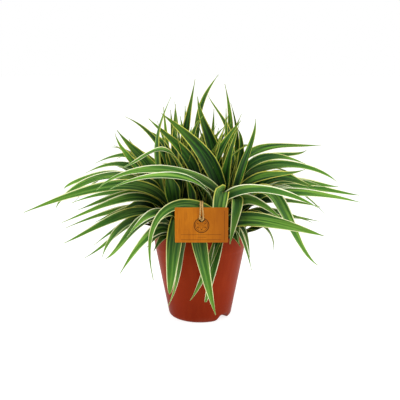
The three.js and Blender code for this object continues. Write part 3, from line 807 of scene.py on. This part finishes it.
def leaf_material():
    """Deep green with lighter lengthwise streaks, a thin pale margin and a paler underside."""
    finish = Finish("leaf", Specular_IOR_Level=0.16, Subsurface_Weight=0.06,
                    Subsurface_Scale=0.002)
    labels = ("across", "along", "tone", "margin", "wide", "arch", "upper")
    leaf = {label: finish.attribute(label) for label in labels}
    along = leaf["along"]
    offset = leaf["tone"] * 90.0
    sideways = leaf["across"] * leaf["wide"]
    streak = streaks(finish, sideways, along, offset)
    shade = clump_shade(finish, along)
    green = finish.blend(shade, leaf_green(finish, leaf, streak), tint("#0b1e0a"))
    in_margin, beside_margin = margin_masks(finish, leaf, offset)
    green = finish.blend(beside_margin * 0.45, green, tint("#5f8a34"))
    top = finish.blend(in_margin, green, margin_colour(finish, leaf, shade))
    underside = finish.blend(0.2, top, tint("#5f8040"))
    brightness = finish.mottling(28.0, 240.0) * 0.5 + 1.0
    inputs = {"Color": finish.blend(leaf["upper"], underside, top), "Value": brightness}
    finish.set(Base_Color=finish.wire("ShaderNodeHueSaturation", "Color", inputs),
               Roughness=(1.0 - streak) * 0.12 + 0.4)
    veins = finish.noise(finish.joined(sideways * 2.6, along * 2.0, offset), 1.0, 2)
    finish.bump(veins, 0.25 * MM, 0.8)
    return finish.material


def stem_mesh(at):
    """The short stem that the leaf bases wrap: a low cone with the edges of the sheaths."""
    radius, rise = STEM["radius"], STEM["rise"]
    profile = [(0, -8), (radius * 0.9, -8), (radius * 0.92, 0), (radius * 0.9, rise * 0.35),
               (radius * 0.76, rise * 0.7), (radius * 0.5, rise * 0.95), (0, rise)]
    sides = 48
    mesh = turned_mesh("stem", [(r * MM, h * MM) for r, h in profile], sides)
    for vertex in mesh.vertices:
        angle = math.atan2(vertex.co.y, vertex.co.x)
        ridge = 1 + 0.05 * math.sin(9 * angle) + 0.03 * math.sin(23 * angle + 1)
        vertex.co.x = vertex.co.x * ridge + at[0] * MM
        vertex.co.y = vertex.co.y * ridge + at[1] * MM
        vertex.co.z += SOIL_TOP * MM
    return mesh


def stem_material():
    finish = Finish("leaf_base", Roughness=0.5)
    mottle = finish.mottling(120.0, 700.0)
    pale = finish.ramp(mottle, -0.15, 0.2)
    finish.set(Base_Color=finish.blend(pale, tint("#4d6a30"), tint("#9aa766")))
    finish.bump(mottle, 0.3 * MM)
    return finish.material


def joined_meshes(name, meshes):
    work = bmesh.new()
    for mesh in meshes:
        work.from_mesh(mesh)
        bpy.data.meshes.remove(mesh)
    result = finished_mesh(name, work)
    result.shade_smooth()
    return result


def make_leaves():
    material = leaf_material()
    tree = blade_tree()
    for number, (name, leaves) in enumerate(LEAVES.items()):
        crown = CROWNS[name]
        young = young_leaves(crown, YOUNG, random_from(YOUNG["seed"] + number))
        if "front" not in name:
            young += young_leaves(crown, SLENDER, random_from(SLENDER["seed"] + number))
        guide = guide_mesh(f"guides_{name}", leaves + young, FINISH_SEED + number)
        piece = made_by_nodes(f"leaves_{name}", guide, tree, Sides=PROFILE_POINTS,
                              Thickness=SECTION["thickness"], Material=material)
        place(piece, "leaf", f"crown_{name}")
    stems = [stem_mesh(crown["at"]) for crown in CROWNS.values()]
    bases = new_object("leaf_bases", joined_meshes("leaf_bases", stems), stem_material())
    place(bases, "leaf", *[f"crown_{name}" for name in CROWNS])


# Pot

POT = {"sides": 168, "foot": 41 * MM, "rest": 35 * MM, "shoulder": 57 * MM, "wall": 1.8 * MM,
       "floor": 2.4 * MM, "rounding": 6.4 * MM, "band": 21 * MM, "step": 0.9 * MM,
       "below_band": 3.5 * MM}
NOTCH = {"bearings": (48, 228), "width": 28 * MM, "height": 8 * MM, "reach": 28 * MM,
         "slope": 0.62, "below": 12 * MM}
# In millimetres: the drains, the heights at which the wall has points, and how far in from the
# rim and how far down the points of the lip are.
DRAINS = {"count": 6, "circle": 23, "radius": 3.5, "depth": 12, "sides": 32}
WALL_LEVELS = (9, 12, 20, 35, 50, 65, 78)
LIP = ((0.25, 2.2), (0, 1.2), (0.15, 0.5), (0.5, 0.1), (1, 0), (1.5, 0.25))


def notch_height(x, y):
    """How high the arched notch stands above the floor at that bearing, 0 away from it."""
    bearing = math.degrees(math.atan2(x, -y)) % 360
    radius = math.hypot(x, y)
    height = 0.0
    for centre in NOTCH["bearings"]:
        off = abs((bearing - centre + 180) % 360 - 180)
        across = math.radians(off) * max(radius, 1e-6) / (NOTCH["width"] / 2)
        if across < 1:
            share = min(1.0, (1 - across) / NOTCH["slope"])
            height = NOTCH["height"] * share * share * (3 - 2 * share)
    return height


def pot_profile():
    """The outside from the middle of the foot up to the rim, and the inside back down."""
    _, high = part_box("pot")
    rim, height = high.y, high.z
    foot, rest, shoulder, wall = POT["foot"], POT["rest"], POT["shoulder"], POT["wall"]
    floor, rounding, step, reach = POT["floor"], POT["rounding"], POT["step"], NOTCH["reach"]
    band = height - POT["band"]
    top_of_wall = band - POT["below_band"]
    outside = [(0, 0), (rest * 0.5, 0), (reach, 0), (reach + 0.6 * MM, 0), (reach + 3 * MM, 0),
               (rest, 0)]
    for k in range(1, 8):
        angle = TURN / 4 * k / 7
        outside.append((rest + (foot - rest) * math.sin(angle), rounding * (1 - math.cos(angle))))
    for level in WALL_LEVELS:
        share = (level * MM - rounding) / (top_of_wall - rounding)
        outside.append((mix(foot, shoulder, share), level * MM))
    stepped = shoulder + step
    outside += [
        (shoulder, top_of_wall), (shoulder + 0.3 * step, band - 1.6 * MM),
        (shoulder + 0.75 * step, band - 0.5 * MM), (stepped, band + 0.6 * MM),
        (stepped + 0.15 * MM, band + 2 * MM), (mix(stepped, rim, 0.5), band + 10 * MM),
    ]
    outside += [(rim - inwards * MM, height - down * MM) for inwards, down in LIP]
    inside = [
        (rim - wall - 0.1 * MM, height - 1.2 * MM), (stepped - wall, band + 2 * MM),
        (shoulder - wall + 0.2 * MM, band - 1 * MM), (shoulder - wall, band - 3 * MM),
        (mix(foot, shoulder, 0.5) - wall, 45 * MM), (foot - wall, 10 * MM),
        (foot - wall - 1 * MM, 7 * MM), (rest, floor + 0.2 * MM), (reach, floor),
        (reach - 1 * MM, floor), (0, floor),
    ]
    return outside, inside


def pot_mesh():
    """The shell, with its rim band and step, a rounded foot and the arched notches in it. At the
    notch's reach the ring of the floor inside rises too, and the one of the foot stays flat."""
    outside, inside = pot_profile()
    mesh = turned_mesh("pot_shell", outside + inside, POT["sides"])
    first_inner = 1 + (len(outside) - 1) * POT["sides"]
    for vertex in mesh.vertices:
        point, inner = vertex.co, vertex.index >= first_inner
        starts_at = NOTCH["reach"] + (-0.5 if inner else 0.3) * MM
        if point.z < NOTCH["below"] and math.hypot(point.x, point.y) > starts_at:
            arch = notch_height(point.x, point.y)
            if arch > 0:
                point.z = max(point.z, arch + (POT["wall"] if inner else 0))
    return mesh


def drain_cutters():
    """The round holes through the floor, as one mesh of cylinders."""
    work = bmesh.new()
    radius, depth = DRAINS["radius"] * MM, DRAINS["depth"] * MM
    for k in range(DRAINS["count"]):
        angle = TURN * k / DRAINS["count"]
        made = bmesh.ops.create_cone(work, cap_ends=True, segments=DRAINS["sides"],
                                     radius1=radius, radius2=radius, depth=depth)
        shift = Vector((math.sin(angle), -math.cos(angle), 0)) * DRAINS["circle"] * MM
        bmesh.ops.translate(work, verts=made["verts"], vec=shift)
    return finished_mesh("drains", work)


def pot_material():
    """Moulded terracotta-red plastic: satin, with faint flow marks and dust, and painted shade that
    darkens it from half its height down to the foot.
    """
    finish = Finish("pot_plastic", Specular_IOR_Level=0.04)
    point = finish.point()
    height = finish.split(point)[2]
    mottle = finish.mottling(22.0, 900.0)
    flow = finish.noise(finish.vector("MULTIPLY", point, (1, 1, 0.12)), 160.0, 3)
    red = finish.blend(finish.ramp(mottle, -0.2, 0.2), tint("#792408"), tint("#83280b"))
    red = finish.blend(finish.ramp(flow, 0.45, 0.75) * 0.25, red, tint("#8f3412"))
    # Painted shade: the red darkens from half the pot's height down towards the foot.
    painted_foot_shade = finish.ramp(height, 56 * MM, 8 * MM)
    red = finish.blend(painted_foot_shade * 0.4, red, tint("#5e1203"))
    dusty = finish.ramp(height, 10 * MM, 0.0) * finish.ramp(mottle, -0.1, 0.25)
    red = finish.blend(dusty * 0.12, red, tint("#b08a74"))
    finish.set(Base_Color=red, Roughness=mottle * 0.25 + 0.38)
    grain = finish.noise(point, 2600.0, 2)
    finish.bump(grain + flow * 0.6, 0.03 * MM, 0.6)
    return finish.material


def make_pot():
    pot = new_object("pot_shell", pot_mesh(), pot_material())
    cutter = new_object("drains", drain_cutters())
    cut = pot.modifiers.new("Drains", "BOOLEAN")
    cut.object = cutter
    cut.solver = "EXACT"
    applied(pot, "pot_shell")
    bpy.data.objects.remove(cutter)
    pot.data.shade_smooth()
    place(pot, "pot_plastic", "pot")


# Soil

SOIL = {"sides": 120, "rings": 26, "dome": 3.6 * MM}

# For each kind of grain: how many to the square metre, the seed of their places, and the
# smallest and the largest radius in millimetres.
GRAINS = {
    "soil_crumbs": {"amount": 160000.0, "seed": 4, "radius": (0.6, 2.2)},
    "perlite": {"amount": 9000.0, "seed": 9, "radius": (0.6, 1.4)},
}


def soil_mesh():
    """The potting mix inside the pot: a plain body with a slightly domed top."""
    low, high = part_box("soil")
    radius, top, floor = high.x, high.z, low.z
    profile = [(0, floor), (26 * MM, floor), (28 * MM, floor + 8 * MM), (37.5 * MM, floor + 9 * MM),
               (radius - 0.4 * MM, top - 8 * MM), (radius - 0.4 * MM, top - 4 * MM)]
    for k in range(SOIL["rings"] + 1):
        share = 1 - k / SOIL["rings"]
        profile.append(((radius - 0.6 * MM) * share, top - SOIL["dome"] * share ** 2))
    return turned_mesh("soil_body", profile, SOIL["sides"])


def drawn(graph, seed, kind, output, low, high):
    """A random value for each grain."""
    inputs = {"Min": low, "Max": high, "Seed": seed}
    return graph.wire("FunctionNodeRandomValue", output, inputs, data_type=kind)


def grain_tree():
    """Scatters lumpy grains over the top of the soil and makes them real."""
    graph, given, result = geometry_tree("Soil grains", Amount="Float", Seed="Int",
                                         Smallest="Float", Largest="Float")
    upward = graph.split(graph.wire("GeometryNodeInputNormal", "Normal"))[2]
    point = graph.wire("GeometryNodeInputPosition", "Position")
    height = graph.split(point)[2]
    facing_up = graph.above(upward, 0.5)
    near_top = graph.above(height, 85 * MM)
    inputs = {"Mesh": given["Geometry"], "Selection": facing_up * near_top,
              "Density": given["Amount"], "Seed": given["Seed"]}
    spread = graph.wire("GeometryNodeDistributePointsOnFaces", "Points", inputs)
    ball = graph.wire("GeometryNodeMeshIcoSphere", "Mesh", {"Radius": 1.0, "Subdivisions": 2})
    inputs = {"Vector": point, "Scale": 1.3, "Detail": 1.0}
    rough = graph.wire("ShaderNodeTexNoise", "Color", inputs)
    push = graph.vector("SUBTRACT", rough, (0.5, 0.5, 0.5))
    lump = moved(graph, ball, Offset=graph.scaled(push, 1.1))
    size = drawn(graph, 11, "FLOAT", 1, given["Smallest"], given["Largest"])
    turn = drawn(graph, 12, "FLOAT_VECTOR", 0, (0, 0, 0), (TURN, TURN, TURN))
    inputs = {"Points": spread, "Instance": lump, "Rotation": turn, "Scale": size}
    scattered = graph.wire("GeometryNodeInstanceOnPoints", "Instances", inputs)
    return finish_tree(graph, given, result, scattered)


def soil_material(name, dark, light):
    finish = Finish(name, Roughness=0.95, Specular_IOR_Level=0.2)
    mottle = finish.mottling(260.0, 1500.0)
    finish.set(Base_Color=finish.blend(finish.ramp(mottle, -0.2, 0.25), tint(dark), tint(light)))
    finish.bump(mottle, 0.8 * MM)
    return finish.material


def make_soil():
    soil = soil_material("soil", "#1c130d", "#4a3626")
    perlite = soil_material("perlite", "#b9b3a6", "#efece4")
    place(new_object("soil_body", soil_mesh(), soil), "soil", "soil")
    tree = grain_tree()
    for name, material in (("soil_crumbs", soil), ("perlite", perlite)):
        kind = GRAINS[name]
        smallest, largest = kind["radius"]
        piece = made_by_nodes(name, soil_mesh(), tree, Amount=kind["amount"], Seed=kind["seed"],
                              Smallest=smallest * MM, Largest=largest * MM, Material=material)
        place(piece, "soil", "soil")


# Tag

TAG = {"size": (63 * MM, 42 * MM), "thickness": 2.4 * MM, "corner": 1 * MM,
       "at": Vector((1.8, -87, 141)) * MM, "lean": math.radians(2)}
TAG_HOLE = {"radius": 3.6 * MM, "above": 7 * MM}
# The burnt marks, in millimetres from the tag's middle, x to the right and y up. Each line has
# its place and half its width.
RINGS = {"below": 0.2, "lines": ((8.7, 0.5), (7.0, 0.26))}
FLOWER = {"petals": 3.0, "length": 5.2, "half": 0.5, "within": 6.3}
LONG_RULES = {"lines": ((-11.4, 0.2), (-17.6, 0.24)), "ends": (-24.5, 23.5)}
SIDE_RULE = {"line": (27.2, 0.2), "ends": (-18.5, 17.5)}
DOTS = {"line": (-14.5, 0.35), "ends": (-4.5, 5.5), "turns": 5.2, "gap": -0.2}


def tag_outline(inset):
    """The tag's outline and its hole as two lists of flat points."""
    corner_steps, hole_sides = 8, 48
    width, height = TAG["size"]
    corner = TAG["corner"] - inset
    x, y = width / 2 - inset - corner, height / 2 - inset - corner
    outer = []
    for centre_x, centre_y, start in ((x, -y, 3), (x, y, 0), (-x, y, 1), (-x, -y, 2)):
        for k in range(corner_steps + 1):
            angle = TURN / 4 * (start + k / corner_steps)
            outer.append((centre_x + corner * math.cos(angle), centre_y + corner * math.sin(angle)))
    hole = []
    for k in range(hole_sides):
        angle = -TURN * k / hole_sides
        radius = TAG_HOLE["radius"] + inset
        hole.append((radius * math.cos(angle), TAG_HOLE["above"] + radius * math.sin(angle)))
    return outer, hole


def tag_mesh():
    """A thin plate with rounded corners, softened edges and one hole. Before it is stood up, its
    own points in millimetres are kept for the grain and the marks."""
    work = bmesh.new()
    soft = 0.3 * MM
    deep = TAG["thickness"] / 2
    layers = [(-deep, soft), (-deep + soft * 0.3, soft * 0.3), (-deep + soft, 0), (deep - soft, 0),
              (deep - soft * 0.3, soft * 0.3), (deep, soft)]
    rings = []
    for z, inset in layers:
        rings.append([[work.verts.new((x, y, z)) for x, y in loop] for loop in tag_outline(inset)])
    for low, high in zip(rings, rings[1:]):
        for a, b in zip(low, high):
            for k in range(len(a)):
                n = (k + 1) % len(a)
                work.faces.new((a[k], a[n], b[n], b[k]))
    for ring in (rings[0], rings[-1]):
        edges = []
        for loop in ring:
            for k in range(len(loop)):
                pair = (loop[k], loop[(k + 1) % len(loop)])
                edges.append(work.edges.get(pair) or work.edges.new(pair))
        bmesh.ops.triangle_fill(work, edges=edges, use_beauty=True)
    bmesh.ops.recalc_face_normals(work, faces=work.faces)
    mesh = finished_mesh("tag_plate", work)
    layer = mesh.attributes.new("plate", "FLOAT_VECTOR", "POINT")
    layer.data.foreach_set("vector", [c / MM for vertex in mesh.vertices for c in vertex.co])
    turn = Quaternion((1, 0, 0), math.pi / 2 - TAG["lean"])
    for vertex in mesh.vertices:
        vertex.co = turn @ vertex.co + TAG["at"]
    return mesh


def engraving(finish, x, y):
    """Burnt marks on the tag: a double ring round a flower, two long rules with a row of dots
    between them, and a fine rule at the side."""

    def line(value, at, half):
        off = finish.math("ABSOLUTE", value - at)
        return finish.ramp(off, half * 1.5, half * 0.6)

    def between(value, low, high):
        return finish.above(value, low) * finish.below(value, high)

    ring_y = y + RINGS["below"]
    radius = finish.math("SQRT", x * x + ring_y * ring_y)
    rings = finish.larger(*[line(radius, *ring) for ring in RINGS["lines"]])
    angle = finish.math("ARCTAN2", ring_y, x)
    petals = finish.math("ABSOLUTE", finish.math("SINE", angle * FLOWER["petals"]))
    flower = line(radius, petals * FLOWER["length"], FLOWER["half"])
    marks = finish.larger(rings, flower * finish.below(radius, FLOWER["within"]))
    long_rules = finish.larger(*[line(y, *rule) for rule in LONG_RULES["lines"]])
    long_rules = long_rules * between(x, *LONG_RULES["ends"])
    side_rule = line(x, *SIDE_RULE["line"]) * between(y, *SIDE_RULE["ends"])
    dash = finish.above(finish.math("SINE", x * DOTS["turns"]), DOTS["gap"])
    dots = line(y, *DOTS["line"]) * between(x, *DOTS["ends"]) * dash
    rules = finish.larger(finish.larger(long_rules, side_rule), dots)
    return finish.larger(marks, rules * 0.85)


def tag_material():
    """Thin orange-brown wood with fine upright grain and burnt marks."""
    finish = Finish("tag_wood", Specular_IOR_Level=0.08)
    plate = finish.attribute("plate", "Vector")
    x, y, z = finish.split(plate)

    def stretched(stretch, detail):
        return finish.noise(finish.vector("MULTIPLY", plate, stretch), 1.0, detail)

    bend = stretched((0.06, 0.02, 0.1), 2) * 3.0
    grain = finish.noise(finish.joined(x * 1.5 + bend, y * 0.05, z), 1.0, 4, 0.6)
    fibre = stretched((6.0, 0.25, 6.0), 3)
    broad = stretched((0.07, 0.04, 0.05), 2)
    wood = finish.blend(finish.ramp(grain, 0.3, 0.7), tint("#98540a"), tint("#b2680e"))
    wood = finish.blend(finish.ramp(fibre, 0.5, 0.75) * 0.5, wood, tint("#7c420a"))
    wood = finish.blend(finish.ramp(broad, 0.4, 0.7) * 0.4, wood, tint("#bb7213"))
    darker_side = finish.ramp(x, -4.0, 30.0)
    wood = finish.blend(darker_side * 0.75, wood, tint("#8c4a0b"))
    on_front = finish.above(z, 0.9)
    burnt = engraving(finish, x, y) * on_front
    wood = finish.blend(burnt * 0.9, wood, tint("#341705"))
    finish.set(Base_Color=wood, Roughness=fibre * 0.2 + 0.46)
    finish.bump(fibre * 0.4 - burnt, 0.12 * MM)
    return finish.material


def make_tag():
    tag = new_object("tag_plate", tag_mesh(), tag_material())
    place(tag, "tag_wood", "tag")


# Twine

TWINE = {"radius": 0.9 * MM, "apart": 1.1 * MM, "apart_at_hole": 2.1 * MM, "clear_of_tag": 0.6 * MM,
         "over_leaf": 8.91 * MM, "under_leaf": 12.17 * MM}
PLIES = {"count": 2, "radius": 0.47 * MM, "sides": 10, "twists": 46, "steps": 900}
# Loose fibres, with their shortest and longest length in millimetres.
FIBRES = {"count": 260, "radius": 0.06 * MM, "sides": 5, "length": (0.8, 2.6), "pieces": 4,
          "seed": 77}


def catmull_rom(points, share):
    """The closed curve through the points, at a share of the whole way."""
    count = len(points)
    place_at = share * count
    i = math.floor(place_at)
    t = place_at - i
    a, b, c, d = (points[(i + k) % count] for k in (-1, 0, 1, 2))
    return 0.5 * ((2 * b) + (c - a) * t + (2 * a - 5 * b + 4 * c - d) * t * t
                  + (3 * b - a - 3 * c + d) * t ** 3)


def twine_points():
    """The loop's route, wound twice: up the front of the tag and over its top edge, over the leaf,
    down behind it, back under it, and down behind the tag into the hole."""
    _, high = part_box("twine_loop")
    x, y, z = TAG["at"]
    radius = TWINE["radius"]
    stand = TAG["thickness"] / 2 + radius + TWINE["clear_of_tag"]
    front, back = y - stand, y + stand
    hole = z + TAG_HOLE["above"]
    tag_top = z + TAG["size"][1] / 2
    far = high.y - radius
    near = far - TWINE["over_leaf"]
    top = high.z - radius
    low_point = top - TWINE["under_leaf"]
    points = []
    for side in (1, -1):
        strand = x + side * TWINE["apart"]
        loose = x + side * TWINE["apart_at_hole"]
        points += [
            (loose, front, hole + 1.2 * MM), (mix(loose, strand, 0.3), front, hole + 5 * MM),
            (mix(loose, strand, 0.7), front, tag_top - 3 * MM),
            (strand, front + 0.3 * MM, tag_top + 1.4 * MM),
            (strand, (front + near) / 2, tag_top + 2.2 * MM), (strand, near, top - 0.8 * MM),
            (strand, (near + far) / 2, top), (strand, far, top - 2 * MM), (strand, far, low_point),
            (strand, mix(far, back, 0.3), low_point - 1.8 * MM),
            (strand, back + 0.6 * MM, hole + 2.8 * MM), (strand, back, hole + 1.2 * MM),
            (x, y, hole - 0.4 * MM + 1.25 * side * MM),
        ]
    return [Vector(point) for point in points]


def route_frame(route, share):
    """A point of the route, the way on from there, and two directions square to it."""
    step = 0.0005
    along = (catmull_rom(route, share + step) - catmull_rom(route, share - step)).normalized()
    side = Vector((1, 0, 0)).cross(along).normalized()
    return catmull_rom(route, share), along, side, along.cross(side)


def ply_guides():
    """One closed line for each ply, wound round the loop's route."""
    route = twine_points()
    steps = PLIES["steps"]
    points, edges = [], []
    for ply in range(PLIES["count"]):
        first = len(points)
        for i in range(steps):
            share = i / steps
            centre, _, side, other = route_frame(route, share)
            angle = TURN * (PLIES["twists"] * share + ply / PLIES["count"])
            wound = side * math.cos(angle) + other * math.sin(angle)
            points.append(centre + wound * (TWINE["radius"] - PLIES["radius"]))
            edges.append((first + i, first + (i + 1) % steps))
    return new_mesh("plies", points, edges)


def fibre_guides():
    """Short curved lines that stand off the strands, as the loose hairs of a natural cord."""
    route = twine_points()
    draw = random_from(FIBRES["seed"])
    points, edges = [], []
    for _ in range(FIBRES["count"]):
        centre, along, side, other = route_frame(route, next(draw))
        angle = TURN * next(draw)
        out = side * math.cos(angle) + other * math.sin(angle)
        length = mix(*FIBRES["length"], next(draw)) * MM
        lean = along * (next(draw) - 0.5) * 2
        for k in range(FIBRES["pieces"] + 1):
            step = k / FIBRES["pieces"]
            reach = out * (TWINE["radius"] * 0.6 + length * 0.35 * step)
            if k:
                edges.append((len(points) - 1, len(points)))
            points.append(centre + reach + (lean + out * 0.3 * step) * length * step)
    return new_mesh("fibres", points, edges)


def cord_tree():
    """A round cord along each guide."""
    graph, given, result = geometry_tree("Twine cords", Radius="Float", Sides="Int")
    inputs = {"Resolution": given["Sides"], "Radius": given["Radius"]}
    circle = graph.wire("GeometryNodeCurvePrimitiveCircle", "Curve", inputs)
    return finish_tree(graph, given, result, swept(graph, given["Geometry"], circle))


def twine_material():
    finish = Finish("twine", Roughness=0.9, Sheen_Weight=0.15, Specular_IOR_Level=0.15)
    fibre = finish.noise(finish.vector("MULTIPLY", finish.point(), (1, 1, 0.5)), 1900.0, 3)
    colour = finish.blend(finish.ramp(fibre, 0.35, 0.65), tint("#8a6832"), tint("#d0ab6a"))
    finish.set(Base_Color=colour)
    finish.bump(fibre, 0.25 * MM)
    return finish.material


def make_twine():
    tree, material = cord_tree(), twine_material()
    parts = [("twine_strands", ply_guides(), PLIES), ("twine_fibres", fibre_guides(), FIBRES)]
    for name, guides, kind in parts:
        piece = made_by_nodes(name, guides, tree, Radius=kind["radius"], Sides=kind["sides"],
                              Material=material)
        place(piece, "twine", "twine_loop")


# Floor, lights and camera

WHITE = (1, 1, 1, 1)
FLOOR = {"half": 4, "grey": 0.35, "glow": 0.8}
LIGHTS = {
    "key_left": {"at": (-1.25, -0.3, 0.5), "size": (0.4, 0.9), "power": 7},
    "key_right": {"at": (1.25, -0.3, 0.45), "size": (0.4, 0.9), "power": 8},
    "top": {"at": (0.1, -0.4, 1.45), "size": (0.5, 0.5), "power": 6},
}
LIT_POINT = Vector((0, 0, 0.15))
CAMERA = {"sensor": 36, "lens": 77.5, "elevation": math.radians(12.5), "distance": 1.1,
          "target": Vector((0, 0, 0.152)), "sees_to": 50}


def make_stage():
    """An evenly white ground and surround. The ground glows a little, so it stays white."""
    grey, half = FLOOR["grey"], FLOOR["half"]
    finish = Finish("floor", Roughness=1.0, Specular_IOR_Level=0.0, Emission_Color=WHITE,
                    Emission_Strength=FLOOR["glow"], Base_Color=(grey, grey, grey, 1))
    corners = [(-half, -half, 0), (half, -half, 0), (half, half, 0), (-half, half, 0)]
    mesh = new_mesh("floor", corners, faces=[(0, 1, 2, 3)])
    new_object("floor", mesh, finish.material)
    world = bpy.data.worlds.new("studio")
    world.use_nodes = True
    background = world.node_tree.nodes["Background"]
    background.inputs["Color"].default_value = WHITE
    background.inputs["Strength"].default_value = 1.0
    bpy.context.scene.world = world


def aimed(made, at, direction):
    """Puts a light or the camera at its place, looking in the direction."""
    made.location = at
    made.rotation_euler = direction.to_track_quat("-Z", "Y").to_euler()
    bpy.context.scene.collection.objects.link(made)


def make_lights():
    for name, light in LIGHTS.items():
        data = bpy.data.lights.new(name, "AREA")
        data.shape = "RECTANGLE"
        data.size, data.size_y = light["size"]
        data.energy = light["power"]
        at = Vector(light["at"])
        aimed(bpy.data.objects.new(name, data), at, LIT_POINT - at)


def make_camera():
    """The photograph's view: from the front and a little above the level."""
    data = bpy.data.cameras.new("camera")
    data.sensor_width = CAMERA["sensor"]
    data.lens = CAMERA["lens"]
    data.clip_end = CAMERA["sees_to"]
    camera = bpy.data.objects.new("camera", data)
    elevation = CAMERA["elevation"]
    away = Vector((0, -math.cos(elevation), math.sin(elevation)))
    aimed(camera, CAMERA["target"] + away * CAMERA["distance"], -away)
    bpy.context.scene.camera = camera
    bpy.context.scene.view_settings.view_transform = "Standard"


make_camera()
make_lights()
make_stage()
make_pot()
make_soil()
make_leaves()
make_tag()
make_twine()
